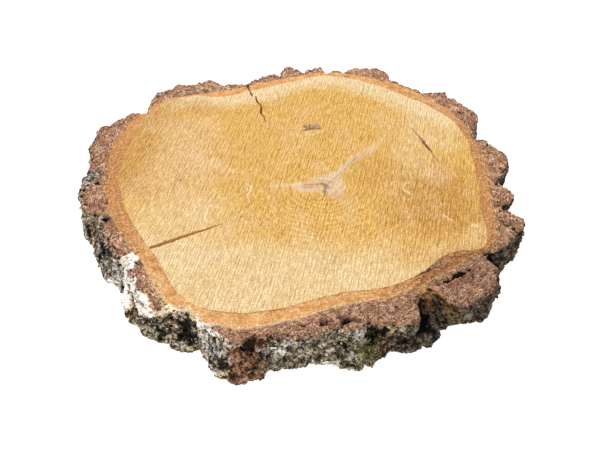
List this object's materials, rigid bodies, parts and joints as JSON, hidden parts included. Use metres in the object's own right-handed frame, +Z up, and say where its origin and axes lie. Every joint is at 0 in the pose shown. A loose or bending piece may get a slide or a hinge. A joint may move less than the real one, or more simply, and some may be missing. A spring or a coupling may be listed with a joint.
{
  "type": "wood slice",
  "caption": "Round slice of a birch trunk sawn across the grain, with flat faces, drying cracks and rough plated bark all round.",
  "frame": {"origin": "middle of the footprint, on the surface that the slice lies on", "axes": "+Z up through the thickness, +X along the widest way across"},
  "size_m": [0.3018, 0.2966, 0.032],
  "materials": {
    "sawn_wood": "dry saw-cut birch, matt, honey heart and paler sapwood",
    "inner_bark": "dry orange-tan inner bark, matt",
    "outer_bark": "corky granular outer bark, red-brown where cut and near black outside, matt",
    "papery_bark": "thin off-white papery birch bark, matt",
    "lichen": "dry grey-green crust, matt",
    "moss": "dull olive moss, matt"
  },
  "bodies": {
    "root": {"wood_slice": "sawn_wood"}
  },
  "joints": []
}
